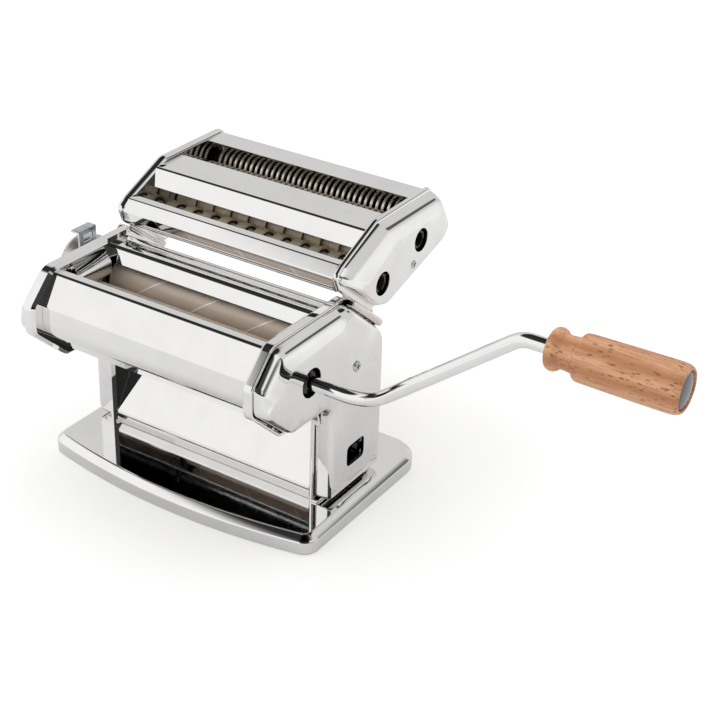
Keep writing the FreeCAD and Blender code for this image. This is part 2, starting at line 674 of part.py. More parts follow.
# Thickness knob: its cam moves the carriage; a bracket on two posts carries the shaft.
knob = new_body("thickness_knob")
cam_along = throw * (sine(half_sweep) * 1.0)
cam_y, cam_z = leaning(knob_y, knob_z, cam_along, throw * cosine(half_sweep))
side_turned(knob, -1, [(cam_start + 0.3, 0.0), (cam_start + 3.6, 0.0), (cam_start + 3.6, d.cam_radius),
                       (cam_start + 0.3, d.cam_radius)], cam_y, cam_z)
side_turned(knob, -1, [
    (cam_start + 3.2, 0.0), (d.knob_outer, 0.0), (d.knob_outer, d.knob_radius - 4.0),
    (d.knob_outer - 1.5, d.knob_radius - 1.2), (d.knob_outer - 4.0, d.knob_radius), (d.knob_inner, d.knob_radius),
    (d.knob_inner, d.knob_shaft), (cam_start + 3.2, d.knob_shaft)], knob_y, knob_z)
bracket = new_body("knob_bracket")
bracket_in = cam_start + 4.4
posts = [leaning(knob_y, knob_z, 0.0, 15.0), leaning(knob_y, knob_z, 0.0, -15.0)]
side_pad(bracket, -1, tilted_box(knob_y, knob_z, 8.0, -18.0, 17.6), bracket_in, bracket_in + 2.0)
for y, z in posts:
    side_turned(bracket, -1, [(web_out, 0.0), (bracket_in + 1.0, 0.0), (bracket_in + 1.0, 2.5), (web_out, 2.5)], y, z)
side_drill(bracket, -1, [(knob_y, knob_z, d.knob_shaft + d.running)], bracket_in - 1.0, bracket_in + 3.0)

# Release tab: a bent plate around the knob's shaft, pressed towards the machine.
tab = new_body("release_tab")
tab_in, tab_out = d.tab_half - 0.75, d.tab_half + 0.75
side_pad(tab, -1, [(-23.0, 100.0), (-3.0, 100.0), (-2.0, 118.0), (-11.0, 130.0), (-11.0, d.tab_top),
                   (-26.0, d.tab_top), (-26.0, 128.0), (-24.0, 118.0)], tab_in, tab_out)
side_pad(tab, -1, rectangle(-26.0, -11.0, d.tab_top - 1.5, d.tab_top), tab_out - 0.5, tab_out + 5.0)
side_drill(tab, -1, [(knob_y, knob_z, d.knob_shaft + d.loose)], tab_in - 1.0, tab_out + 1.0)
side_pocket(tab, -1, rectangle(-22.0, -15.0, 129.6, 134.4), tab_in - 1.0, tab_out + 1.0)

# Crank: a rod with two bends that plugs into the hollow drive journal.
crank_y, crank_z = front_y, front_z
low_reach = d.crank_bend * tangent(d.crank_slope / 2)
top_reach = d.crank_top_bend * tangent(d.crank_slope / 2)
top_x = d.crank_out + d.crank_rise / tangent(d.crank_slope)
top_z = crank_z + d.crank_rise
run, rise = cosine(d.crank_slope), sine(d.crank_slope)
crank = new_body("crank_rod")
path = new_sketch(crank, "XZ_Plane", (0, 0, -crank_y))
draw_profile(path, [
    (d.drive_end - 18.0, crank_z), (d.crank_out - low_reach, crank_z, d.crank_bend),
    (d.crank_out + low_reach * run, crank_z + low_reach * rise),
    (top_x - top_reach * run, top_z - top_reach * rise, -d.crank_top_bend),
    (top_x + top_reach, top_z), (d.crank_end, top_z)], closed=False)
circle = new_sketch(crank, "YZ_Plane", (0, 0, d.drive_end - 18.0))
draw_circle(circle, crank_y, crank_z, d.rod_radius)
pipe = crank.newObject("PartDesign::AdditivePipe", "crank_sweep")
pipe.Profile = circle
pipe.Spine = (path, [f"Edge{i + 1}" for i in range(5)])
pipe.Mode = "Frenet"
doc.recompute()
pin_x = d.drive_end - 2.5
sketch = new_sketch(crank, "XY_Plane", (0, 0, crank_z + 6.0))
draw_circle(sketch, pin_x, crank_y, 1.5)
add_pocket(crank, sketch, 12.0)
pin = new_body("crank_pin")
sketch = new_sketch(pin, "XY_Plane", (0, 0, crank_z - 6.0))
draw_circle(sketch, pin_x, crank_y, 1.5)
add_pad(pin, sketch, 12.0)

# Turned grip with a dark cap over the rod's end.
grip_end = d.grip_start + d.grip_length
bore = d.rod_radius + 0.1
turned("crank_grip", [
    (d.grip_start, bore), (d.grip_start, 11.2), (d.grip_start + 1.6, 12.5), (d.grip_start + 4.4, 12.5),
    (d.grip_start + 7.4, d.grip_neck), (d.grip_start + 10.5, d.grip_neck),
    (d.grip_start + 15.0, d.grip_radius), (d.grip_start + 42.0, d.grip_radius + 0.2),
    (grip_end - 4.0, d.grip_radius - 1.2),
    (grip_end - 1.0, 10.0), (grip_end - 1.0, 8.1), (grip_end - 5.0, 8.1), (grip_end - 5.0, bore)], crank_y, top_z)
turned("grip_cap", [
    (grip_end - 4.9, 0.0), (grip_end - 4.9, 8.0), (grip_end - 1.0, 8.0), (grip_end + 0.6, 7.0),
    (grip_end + 2.0, 4.5), (grip_end + 2.7, 0.0)], crank_y, top_z)

# Double cutter: two end plates, drawn end covers, folded sheets, two pairs of ringed rollers.
plate_in = d.cutter_inner_half
plate_out = plate_in + d.cutter_plate
cover_end = d.cutter_cover_half
lean_y, lean_z = cosine(d.cutter_tilt), sine(d.cutter_tilt)


def on_cutter(y, z, reach):
    return y + reach * lean_y, z + reach * lean_z


drives = {"wide": (d.cutter_y, d.cutter_z), "narrow": on_cutter(d.cutter_y, d.cutter_z, d.pair_offset)}
followers = {kind: on_cutter(y, z, d.cutter_centres) for kind, (y, z) in drives.items()}
axes = list(drives.values()) + list(followers.values())
end_outline = [
    (-2.4, slope_height(-2.4) + 2.1), (30.0, slope_height(30.0) + 2.1), (38.0, 115.0), (102.0, 133.5),
    (107.5, 143.0), (93.0, 170.0), (34.0, 169.5), (0.5, 154.6), (-6.0, 149.8)]
cover_line = [
    (-2.6, slope_height(-2.6) + 6.2), (27.0, slope_height(27.0) + 6.2), (38.0, 117.0), (101.0, 135.3),
    (105.4, 143.2), (91.8, 168.2), (34.6, 167.7), (1.2, 153.0), (-3.8, 149.0)]
end_screws = [(4.0, 147.0), (64.6, 132.6)]
for name, side in SIDES:
    end_plate, block = side_pad(f"cutter_end_plate_{name}", side, end_outline, plate_in, plate_out)
    block = round_corners(end_plate, block, [
        (end_outline[2][0], end_outline[2][1], 5.0), (end_outline[3][0], end_outline[3][1], 5.0),
        (end_outline[4][0], end_outline[4][1], 5.0), (end_outline[5][0], end_outline[5][1], 6.0),
        (end_outline[6][0], end_outline[6][1], 7.0), (end_outline[7][0], end_outline[7][1], 4.0),
        (end_outline[8][0], end_outline[8][1], 3.0)])
    side_drill(end_plate, side, [(y, z, d.cutter_journal + d.running) for y, z in axes],
               plate_in - 1.0, plate_out + 1.0)

    end_cover, block = side_pad(f"cutter_end_cover_{name}", side, cover_line, plate_out, cover_end)
    block = round_corners(end_cover, block, [
        (cover_line[i][0], cover_line[i][1], radius)
        for i, radius in ((2, 6.0), (3, 6.0), (4, 6.0), (5, 6.0), (6, 7.0), (7, 5.0), (8, 4.0))])
    rim = edge_names(block.Shape, lambda e: flat_edge(e, "X", side * cover_end))
    block = add_fillet(end_cover, block, rim, 2.0, "Chamfer")
    inner = face_names(block.Shape, lambda f: flat_at(f, "X", side * plate_out))
    add_shell(end_cover, block, inner, d.cover_wall, 0)
    if side > 0:
        side_drill(end_cover, side, [(y, z, d.cutter_hole) for y, z in drives.values()],
                   plate_out + 1.0, cover_end + 1.0)

    # Rail: a channel that hooks around the wide flange of the machine's slope.
    rail = new_body(f"cutter_rail_{name}")
    lift, wall, lip = 0.35, number(d.rail_sheet), d.wide_flange_half + 0.5
    for near, far, above, below in (
            (plate_out + 0.1, lip + wall, lift + wall, lift),
            (plate_out + 0.1, plate_out + 1.3, lift + wall + 3.0, lift + wall),
            (lip, lip + wall, lift, -2.5 - wall),
            (d.flange_half + 0.6, lip + wall, -2.5, -2.5 - wall)):
        front_end, rear_end = (1.0, number(d.rail_tip))
        ends = [(front_end, below), (rear_end, below), (rear_end, above), (front_end, above)]
        side_pad(rail, side, [(y, slope_height(y) + h * 1.28) for y, h in ends], near, far)

# Sheets of the cutter.
span = plate_in - 0.1
folded("cutter_front_sheet", [(10.5, 151.4), (0.6, 154.7), (-4.6, 150.0), (-4.4, 145.2), (9.5, 137.0)], 1.2, span)
folded("cutter_middle_sheet", [(58.0, 158.5), (50.5, 166.2), (26.5, 165.8), (18.0, 154.0)], 2.0, span)
folded("cutter_rear_sheet", [(103.0, 139.5), (105.0, 144.0), (91.5, 168.2), (73.5, 167.2), (77.0, 161.5)], 2.5, span)

cutter_rods = new_body("cutter_tie_rods")
for y, z in ((5.5, 146.0), (60.5, 129.5)):
    turned(cutter_rods, [(-span, 0.0), (span, 0.0), (span, 2.0), (-span, 2.0)], y, z)


def cutter_roller(label, y, z, drum, right, hollow):
    """A drum on two journals; a driver's right journal has the crank's socket."""
    left = gear_in + 4.0
    end = [(right, d.cutter_bore), (right - 20.0, d.cutter_bore), (right - 20.0, 0.0)] if hollow else [(right, 0.0)]
    body = turned(label, [
        (-left, 0.0), (-left, d.cutter_journal), (-d.cutter_half, d.cutter_journal), (-d.cutter_half, drum),
        (d.cutter_half, drum), (d.cutter_half, d.cutter_journal), (right, d.cutter_journal)] + end, y, z)[0]
    if hollow:
        side_pocket(body, 1, rectangle(y - 1.55, y + 1.55, z - 7.0, z + 7.0), right - 4.5, right + 1.0)
    return body


def add_rings(body, y, z, drum, offset, count):
    """A row of square cutting rings: offset is the first ring's middle, count the number of rings."""
    half_ring = d.wide_pitch / 4 - d.cut_play / 2
    ring = turned(body, [(offset - half_ring, drum - 1.0), (offset + half_ring, drum - 1.0),
                         (offset + half_ring, d.cutter_radius), (offset - half_ring, d.cutter_radius)], y, z)[1]
    row = body.newObject("PartDesign::LinearPattern", f"{body.Label}_rings")
    row.Originals = [ring]
    row.Direction = (origin_feature(body, "X_Axis"), [""])
    row.Occurrences = count
    row.Length = number(d.wide_pitch) * (count - 1)
    row.setExpression("Length", (d.wide_pitch * (count - 1)).text)
    body.Tip = row
    doc.recompute()


# The wide pair has rings that reach into each other's grooves. The narrow pair's fine ribs are left
# off its drums, which nearly touch.
gear_in = plate_out + 1.2
wide_drum = d.cutter_centres - d.cutter_radius - 0.3
narrow_drum = d.cutter_centres / 2 - 0.1
for kind, drum in (("wide", wide_drum), ("narrow", narrow_drum)):
    drive_y, drive_z = drives[kind]
    follow_y, follow_z = followers[kind]
    driver = cutter_roller(f"{kind}_cutter_driver", drive_y, drive_z, drum, cover_end - 1.6, True)
    follower = cutter_roller(f"{kind}_cutter_follower", follow_y, follow_z, drum, plate_out + 0.6, False)
    if kind == "wide":
        add_rings(driver, drive_y, drive_z, drum, -5 * d.wide_pitch, 11)
        add_rings(follower, follow_y, follow_z, drum, -4.5 * d.wide_pitch, 10)
    gear(f"{kind}_gear_driver", drive_y, drive_z, d.cutter_tilt, -1, gear_in, 4.0,
         d.cutter_gear_tip, d.cutter_gear_root, d.cutter_gear_teeth, d.cutter_journal)
    gear(f"{kind}_gear_follower", follow_y, follow_z, d.cutter_tilt + 180.0 + 15.0, -1, gear_in, 4.0,
         d.cutter_gear_tip, d.cutter_gear_root, d.cutter_gear_teeth, d.cutter_journal)

# Screws that hold the covers, and the screws of the feet.
cover_screws = new_body("cover_screws")
for name, side in SIDES:
    reach = d.cover_half_right if side > 0 else d.cover_half_left
    z = d.cover_screw_z if side > 0 else d.cover_screw_z - 12.0
    side_turned(cover_screws, side, [(web_out, 0.0), (reach + 1.4, 0.0), (reach + 1.4, 2.6), (reach, 3.6), (reach, 1.9),
                                     (web_out, 1.9)], d.cover_screw_y, z)

for body in doc.findObjects("PartDesign::Body"):
    if any(word in state for thing in [body] + list(body.Group) for state in thing.State
           for word in ("Invalid", "Error")):
        raise RuntimeError(f"{body.Label} did not build")
    if body.Shape.isNull() or not body.Shape.isValid():
        raise RuntimeError(f"{body.Label} is not a sound solid")
os.makedirs("parts", exist_ok=True)
for body in doc.findObjects("PartDesign::Body"):
    body.Shape.exportStep(f"parts/{body.Label}.step")
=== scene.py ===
import json
import math

import bmesh
import bpy
from mathutils import Matrix, Vector


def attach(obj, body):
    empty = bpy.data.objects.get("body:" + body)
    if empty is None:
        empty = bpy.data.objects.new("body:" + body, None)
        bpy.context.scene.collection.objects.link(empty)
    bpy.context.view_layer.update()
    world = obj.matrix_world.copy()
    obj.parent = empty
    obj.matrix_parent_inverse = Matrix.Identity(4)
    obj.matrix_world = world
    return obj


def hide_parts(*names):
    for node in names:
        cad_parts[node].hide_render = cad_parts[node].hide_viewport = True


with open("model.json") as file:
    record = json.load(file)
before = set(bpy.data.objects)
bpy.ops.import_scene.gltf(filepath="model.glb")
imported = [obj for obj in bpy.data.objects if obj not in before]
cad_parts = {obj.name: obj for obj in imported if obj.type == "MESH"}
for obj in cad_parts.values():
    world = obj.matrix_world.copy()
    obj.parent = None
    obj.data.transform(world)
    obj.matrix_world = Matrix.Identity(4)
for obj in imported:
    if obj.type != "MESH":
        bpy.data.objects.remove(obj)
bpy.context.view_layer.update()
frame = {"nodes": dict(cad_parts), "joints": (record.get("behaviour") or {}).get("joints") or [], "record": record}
NODES = frame["nodes"]
BODY_OF = {node: body for body, nodes in frame["record"]["behaviour"]["bodies"].items() for node in nodes}
MM = 0.001


def axis_of(joint):
    """The y and z of a hinge's axis, to a hundredth of a millimetre. Every hinge lies parallel to X."""
    place = next(item["pos_m"] for item in frame["joints"] if item["name"] == joint)
    return round(place[1] / MM, 2), round(place[2] / MM, 2)


FRONT_AXIS = axis_of("crank_turn")
REAR_AXIS = axis_of("rear_roller_turn")
GRIP_AXIS = axis_of("grip_spin")
CUTTER_AXES = [axis_of(f"{roller}_turn") for roller in ("wide", "wide_follower", "narrow", "narrow_follower")]
WIDE_DRIVER, WIDE_FOLLOWER, NARROW_DRIVER, NARROW_FOLLOWER = CUTTER_AXES


# Shader maths

class Field:
    """A socket in a node tree. The operators between fields and numbers add Math nodes."""

    def __init__(self, tree, socket):
        self.tree = tree
        self.socket = socket

    def over(self, operation, values):
        """A Math node over fields and numbers."""
        made = self.tree.nodes.new("ShaderNodeMath")
        made.operation = operation
        for place, value in zip(made.inputs, values):
            if isinstance(value, Field):
                self.tree.links.new(value.socket, place)
            else:
                place.default_value = value
        return Field(self.tree, made.outputs[0])

    def math(self, operation, *others):
        return self.over(operation, (self,) + others)

    def __add__(self, other):
        return self.math("ADD", other)

    def __sub__(self, other):
        return self.math("SUBTRACT", other)

    def __mul__(self, other):
        return self.math("MULTIPLY", other)

    def __truediv__(self, other):
        return self.math("DIVIDE", other)

    __radd__ = __add__
    __rmul__ = __mul__

    def __rsub__(self, number):
        return self.over("SUBTRACT", (number, self))

    def __rtruediv__(self, number):
        return self.over("DIVIDE", (number, self))

    def bounded(self, low, high):
        """0 at low and below, 1 at high and above, and smooth between."""
        made = self.tree.nodes.new("ShaderNodeMapRange")
        made.interpolation_type = "SMOOTHSTEP"
        made.inputs["From Min"].default_value = low
        made.inputs["From Max"].default_value = high
        self.tree.links.new(self.socket, made.inputs["Value"])
        return Field(self.tree, made.outputs["Result"])


class Finish:
    """A material under construction, or the world's shader."""

    def __init__(self, name, owner=None):
        self.owner = owner or bpy.data.materials.new(name)
        self.owner.use_nodes = True
        self.tree = self.owner.node_tree
        self.tree.nodes.clear()

    def node(self, kind, settings=None, values=None, output=0):
        """Any other node: its type, its settings, and the numbers or links of its sockets."""
        made = self.tree.nodes.new(kind)
        for name, value in (settings or {}).items():
            setattr(made, name, value)
        for name, value in (values or {}).items():
            place = made.inputs[name]
            if isinstance(value, Field):
                self.tree.links.new(value.socket, place)
            else:
                place.default_value = value
        return Field(self.tree, made.outputs[output]) if len(made.outputs) else None

    def place(self, centre=(0, 0, 0), scale=(1, 1, 1), turn=(0, 0, 0)):
        """Object coordinates, measured from centre, turned, and stretched by scale."""
        coords = self.node("ShaderNodeTexCoord", output="Object")
        moved = self.node("ShaderNodeVectorMath", {"operation": "SUBTRACT"}, {0: coords, 1: centre})
        return self.node("ShaderNodeMapping", None, {"Vector": moved, "Scale": scale, "Rotation": turn})

    def axes(self, vector):
        """The X, Y and Z numbers of a vector."""
        split = self.node("ShaderNodeSeparateXYZ", None, {"Vector": vector})
        outputs = split.socket.node.outputs
        return [Field(self.tree, outputs[name]) for name in "XYZ"]

    def noise(self, vector, scale, detail=3.0, roughness=0.5):
        sockets = {"Vector": vector, "Scale": scale, "Detail": detail, "Roughness": roughness}
        return self.node("ShaderNodeTexNoise", None, sockets)

    def mix(self, factor, first, second):
        """A colour between two colours."""
        return self.node("ShaderNodeMix", {"data_type": "RGBA"}, {0: factor, 6: first, 7: second}, output=2)

    def bump(self, height, distance, strength=1.0):
        sockets = {"Height": height, "Distance": distance, "Strength": strength}
        return self.node("ShaderNodeBump", None, sockets)

    def metal_or_coat(self, **values):
        """Ends the material with a Principled shader and gives the material back."""
        sockets = {name.replace("_", " "): value for name, value in values.items()}
        shader = self.node("ShaderNodeBsdfPrincipled", None, sockets)
        self.node("ShaderNodeOutputMaterial", None, {"Surface": shader})
        return self.owner


def colour(red, green, blue, share=1.0):
    """A colour with all of its tone, or a share of it."""
    return (red * share, green * share, blue * share, 1.0)


# Finishes

# painted shade: the journals past the drums are painted near black so the holes round them read dark
SHADE_FROM, FULLY_SHADED = 72.2, 72.8  # past every drum's end, a roller's journals turn dark between these x


def polished_chrome(name, haze=0.03):
    """Mirror chrome on pressed sheet: a little polishing haze and the faint waves of the sheet."""
    f = Finish(name)
    tone = (0.88, 0.877, 0.872)
    haze_map = f.noise(f.place(), 55.0, 4.0)
    lines = f.noise(f.place(scale=(1.0, 1.0, 14.0)), 160.0, 2.0)
    rough = haze + haze_map.bounded(0.45, 0.75) * 0.035 + lines.bounded(0.5, 0.8) * 0.02
    tint = f.mix(haze_map.bounded(0.3, 0.8), colour(*tone), colour(*tone, 0.95))
    waves = f.bump(f.noise(f.place(), 22.0, 1.0), 0.00003, 0.6)
    return f.metal_or_coat(Base_Color=tint, Metallic=1.0, Roughness=rough, Normal=waves)


def zinc_plate(name):
    """Bluish zinc plating with a soft cloud in it and short rubbed marks."""
    f = Finish(name)
    cloud = f.noise(f.place(), 240.0, 5.0, 0.6)
    rubbed = f.noise(f.place(scale=(9.0, 1.0, 1.0)), 420.0, 2.0)
    tint = f.mix(cloud.bounded(0.3, 0.7), colour(0.50, 0.54, 0.58), colour(0.72, 0.76, 0.79))
    rough = 0.22 + cloud * 0.12 + rubbed.bounded(0.5, 0.75) * 0.12
    return f.metal_or_coat(Base_Color=tint, Metallic=1.0, Roughness=rough, Normal=f.bump(rubbed, 0.00002))


def satin_nickel(name, tone=(0.66, 0.63, 0.60), rough=0.22):
    """Plated die casting or turned steel, dull enough to blur what it mirrors."""
    f = Finish(name)
    grain = f.noise(f.place(), 300.0, 4.0, 0.6)
    tint = f.mix(grain.bounded(0.35, 0.7), colour(*tone), colour(*tone, 0.86))
    rough = rough + grain * 0.1
    return f.metal_or_coat(Base_Color=tint, Metallic=1.0, Roughness=rough, Normal=f.bump(grain, 0.00001))


def about(f, axis):
    """The x of a roller's surface, and its two distances from the roller's axis, along y and z."""
    return f.axes(f.place(centre=(0.0, axis[0] * MM, axis[1] * MM)))


def journals(x):
    """0 over a roller's drum and 1 on the outer part of its journals: the mask of the painted shade there."""
    return x.math("ABSOLUTE").bounded(SHADE_FROM * MM, FULLY_SHADED * MM)


def dough_roller_steel(name, axis):
    """A dough roller: fine crossed grinding all over, a fine bright line that winds along it, and journals
    painted near black as shade."""
    f = Finish(name)
    radius, marks_per_metre, pitch, lean = 0.014, 4400.0, 0.039, 1.33
    x, across, up = about(f, axis)
    around = across.math("ARCTAN2", up) * radius
    first = ((x + around) * marks_per_metre).math("SINE")
    second = ((x - around) * marks_per_metre).math("SINE")
    cross = (first * second) * 0.5 + 0.5
    winding = ((x - around * lean) / pitch).math("FRACT")
    line = 1.0 - (winding - 0.5).math("ABSOLUTE").bounded(0.006, 0.022)
    cloud = f.noise(f.place(scale=(0.3, 1.0, 1.0)), 90.0, 4.0)
    tint = f.mix(cross, colour(0.44, 0.35, 0.28), colour(0.88, 0.77, 0.66))
    tint = f.mix(line, tint, colour(1.0, 0.96, 0.90))
    # painted shade: the journals turn near black, so the holes round them read dark
    tint = f.mix(journals(x), tint, colour(0.04, 0.035, 0.03))
    rough = 0.36 + cloud * 0.12 - line * 0.12
    marks = f.bump(cross, 0.00004, 0.7)
    return f.metal_or_coat(Base_Color=tint, Metallic=0.45, Roughness=rough, Normal=marks)


def cutter_bronze(name, axis, floor, tone=(1.0, 0.88, 0.70), rough=0.34, metal=0.15):
    """The warm metal of a cutting roller: turning marks round its rings, and painted shade, near black, on its
    journals and in its grooves, apart from their floor, which keeps its own colour up to the radius given as
    floor."""
    f = Finish(name)
    # painted shade in the grooves is full inside the first radius and gone past the second, and rises over
    # floor_edge above the floor
    shade_full, shade_gone, floor_edge = 8.6, 9.4, 0.3
    x, across, up = about(f, axis)
    radius = (across * across + up * up).math("SQRT")
    inside = 1.0 - radius.bounded(shade_full * MM, shade_gone * MM)
    groove = inside * radius.bounded(floor * MM, (floor + floor_edge) * MM)
    painted_shade = groove.math("MAXIMUM", journals(x))
    turned = f.noise(f.place(scale=(30.0, 1.0, 1.0)), 60.0, 3.0)
    cloud = f.noise(f.place(), 180.0, 3.0)
    tint = f.mix(cloud.bounded(0.3, 0.75), colour(*tone), colour(*tone, 0.86))
    # painted shade: grooves and journals turn near black where shade falls between the ribs and in the holes
    tint = f.mix(painted_shade, tint, colour(0.035, 0.025, 0.018))
    rough = turned * 0.14 + rough
    marks = f.bump(turned, 0.00003, 0.6)
    return f.metal_or_coat(Base_Color=tint, Metallic=metal, Roughness=rough, Normal=marks)


def oiled_beech(name):
    """Turned beech: long pale and brown bands along X, and the short dark flecks of its rays."""
    f = Finish(name)
    centre = (0.255, -0.041, 0.17)
    density = 620.0
    along = f.place(centre=centre, scale=(0.16, 1.0, 1.0), turn=(0.35, 0.0, 0.0))
    wander = f.noise(f.place(centre=centre, scale=(0.5, 1.0, 1.0)), 60.0, 3.0)
    bent = f.node("ShaderNodeVectorMath", {"operation": "MULTIPLY_ADD"},
                  {0: wander, 1: (0.004, 0.004, 0.006), 2: along})
    x, y, z = f.axes(bent)
    rings = ((z + y * 0.25) * density).math("SINE") * 0.5 + 0.5
    fine = f.noise(f.place(centre=centre, scale=(0.06, 1.0, 1.0)), 900.0, 4.0, 0.65)
    short = f.place(centre=centre, scale=(0.34, 1.0, 1.0))
    cells = f.node("ShaderNodeTexVoronoi", {"feature": "F1", "distance": "EUCLIDEAN"},
                   {"Vector": short, "Scale": density, "Randomness": 1.0})
    patches = f.noise(f.place(centre=centre), 150.0, 2.0).bounded(0.38, 0.52)
    fleck = (1.0 - cells.bounded(0.16, 0.38)) * patches
    tint = f.mix(rings, colour(0.56, 0.245, 0.11), colour(0.82, 0.45, 0.25))
    tint = f.mix(fine.bounded(0.40, 0.68) * 0.65, tint, colour(0.45, 0.185, 0.075))
    tint = f.mix(fleck * 0.85, tint, colour(0.28, 0.09, 0.035))
    rough = 0.42 + fine * 0.18
    pores = f.bump(fine * 0.6 + fleck * -0.8, 0.00008, 0.6)
    return f.metal_or_coat(Base_Color=tint, Roughness=rough, Normal=pores,
                           Coat_Weight=0.12, Coat_Roughness=0.25)


def dark_plastic(name, tone, rough, metal=0.0):
    """Moulded plastic with a fine grain. With some metal in it, it shines like a plated skin."""
    f = Finish(name)
    grain = f.noise(f.place(), 700.0, 3.0)
    tint = f.mix(grain, colour(*tone), colour(*tone, 1.5))
    rough = rough + grain * 0.08
    return f.metal_or_coat(Base_Color=tint, Metallic=metal, Roughness=rough, Normal=f.bump(grain, 0.000005))


CHROME = polished_chrome("sheet_chrome")
ROD_CHROME = polished_chrome("rod_chrome", haze=0.05)
ZINC = zinc_plate("zinc_plate")
NICKEL = satin_nickel("satin_nickel")
SHAFT_STEEL = satin_nickel("shaft_steel", (0.42, 0.38, 0.35), 0.3)
FRONT_ROLLER = dough_roller_steel("front_roller_steel", FRONT_AXIS)
REAR_ROLLER = dough_roller_steel("rear_roller_steel", REAR_AXIS)
WIDE_BRONZE = [cutter_bronze(f"wide_bronze_{number}", axis, 7.2)
               for number, axis in enumerate((WIDE_DRIVER, WIDE_FOLLOWER), 1)]
RIB_BRONZE = [cutter_bronze(f"rib_bronze_{number}", axis, 0.0, (1.0, 0.91, 0.78), 0.2, 0.6)
              for number, axis in enumerate((NARROW_DRIVER, NARROW_FOLLOWER), 1)]
RAIL_STEEL = satin_nickel("rail_steel", (0.80, 0.72, 0.68), 0.16)
BEECH = oiled_beech("oiled_beech")
CAP = dark_plastic("grip_cap_plastic", (0.085, 0.085, 0.09), 0.08, 0.8)
NYLON = dark_plastic("black_nylon", (0.03, 0.03, 0.03), 0.45)


# Making pieces from meshes

def finished_object(name, mesh, finish, body, node=None, sharp=50.0, edge_round=0.0, wall=0.0,
                    smooth_levels=0):
    """Turns a bmesh into a piece: smooth between faces that meet at less than sharp degrees.
    edge_round is the radius that its sharp edges get, and wall the thickness that a sheet gets behind
    its faces, both in millimetres. smooth_levels subdivides it."""
    for face in mesh.faces:
        face.smooth = True
    for edge in mesh.edges:
        edge.smooth = len(edge.link_faces) == 2 and edge.calc_face_angle(0.0) < math.radians(sharp)
    data = bpy.data.meshes.new(name)
    mesh.to_mesh(data)
    mesh.free()
    data.materials.append(finish)
    piece = bpy.data.objects.new(name, data)
    bpy.context.scene.collection.objects.link(piece)
    if edge_round:
        rounded = piece.modifiers.new("broken_edges", "BEVEL")
        rounded.width = edge_round * MM
        rounded.segments = 2
        rounded.limit_method = "ANGLE"
        rounded.angle_limit = math.radians(38.0)
        rounded.use_clamp_overlap = True
    if wall:
        sheet = piece.modifiers.new("sheet_wall", "SOLIDIFY")
        sheet.thickness = wall * MM
        sheet.offset = -1.0
        sheet.edge_crease_inner = 1.0
        sheet.edge_crease_outer = 1.0
    if smooth_levels:
        smoother = piece.modifiers.new("smooth_form", "SUBSURF")
        smoother.levels = smooth_levels
        smoother.render_levels = smooth_levels
    else:
        weighted = piece.modifiers.new("flat_faces_stay_flat", "WEIGHTED_NORMAL")
        weighted.keep_sharp = True
        weighted.weight = 80
    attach(piece, body)
    if node:
        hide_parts(node)
    return piece


def welded(node):
    """A copy of a CAD node's mesh with its loose triangles joined."""
    mesh = bmesh.new()
    mesh.from_mesh(NODES[node].data)
    bmesh.ops.remove_doubles(mesh, verts=mesh.verts, dist=0.000002)
    bmesh.ops.dissolve_limit(mesh, angle_limit=math.radians(0.3), verts=mesh.verts, edges=mesh.edges)
    return mesh


def point(x, y, z):
    """A place given in millimetres."""
    return Vector((x, y, z)) * MM


def is_at(vert, place):
    return (vert.co - place).length < 1e-6


def verts_in(made):
    """The vertices among what an operator made."""
    return [item for item in made["geom"] if isinstance(item, bmesh.types.BMVert)]


def rounding(places, number, radius):
    """How far from a corner of a line of places a rounding of that radius starts."""
    before, corner, after = places[number - 1], places[number], places[(number + 1) % len(places)]
    return radius * MM * math.tan((corner - before).angle(after - corner) / 2)


def swept_line(mesh, places, run):
    """Sweeps an open line of places along run."""
    verts = [mesh.verts.new(place) for place in places]
    edges = [mesh.edges.new(pair) for pair in zip(verts, verts[1:])]
    made = bmesh.ops.extrude_edge_only(mesh, edges=edges)
    bmesh.ops.translate(mesh, verts=verts_in(made), vec=run)


def round_fold(mesh, places, number, run, radius, segments=6):
    """Rounds the edge that a corner of an outline leaves where it is swept along run."""
    ends = (places[number], places[number] + run)
    fold = [edge for edge in mesh.edges if all(any(is_at(v, end) for end in ends) for v in edge.verts)]
    bmesh.ops.bevel(mesh, geom=fold, offset=rounding(places, number, radius), offset_type="OFFSET",
                    segments=segments, profile=0.5, affect="EDGES", material=-1)


def faced(mesh, face, towards):
    """Turns all faces of a sheet so that one of them looks the given way."""
    bmesh.ops.recalc_face_normals(mesh, faces=mesh.faces)
    face.normal_update()
    if face.normal.dot(Vector(towards)) < 0:
        bmesh.ops.reverse_faces(mesh, faces=mesh.faces)


def thickened(mesh, wall):
    """Gives an open sheet its wall, on the side away from its faces' normals."""
    bmesh.ops.solidify(mesh, geom=list(mesh.faces), thickness=wall * MM)
    bmesh.ops.recalc_face_normals(mesh, faces=mesh.faces)


def punched(mesh, face, holes):
    """Cuts holes into a flat face. Each hole is the list of the edges round it."""
    edges = list(face.edges)
    bmesh.ops.delete(mesh, geom=[face], context="FACES_ONLY")
    for hole in holes:
        edges += hole
    bmesh.ops.triangle_fill(mesh, edges=edges, use_beauty=True, use_dissolve=False)


def square_to_x(x, y, z):
    """The matrix that puts a flat form at a place, square to X."""
    return Matrix.Translation(point(x, y, z)) @ Matrix.Rotation(math.radians(90.0), 4, "Y")


def round_hole(mesh, x, y, z, radius, segments=40):
    """The edges of a circle that lies square to X."""
    made = bmesh.ops.create_circle(mesh, segments=segments, radius=radius * MM,
                                   matrix=square_to_x(x, y, z))
    return list({edge for vert in made["verts"] for edge in vert.link_edges})


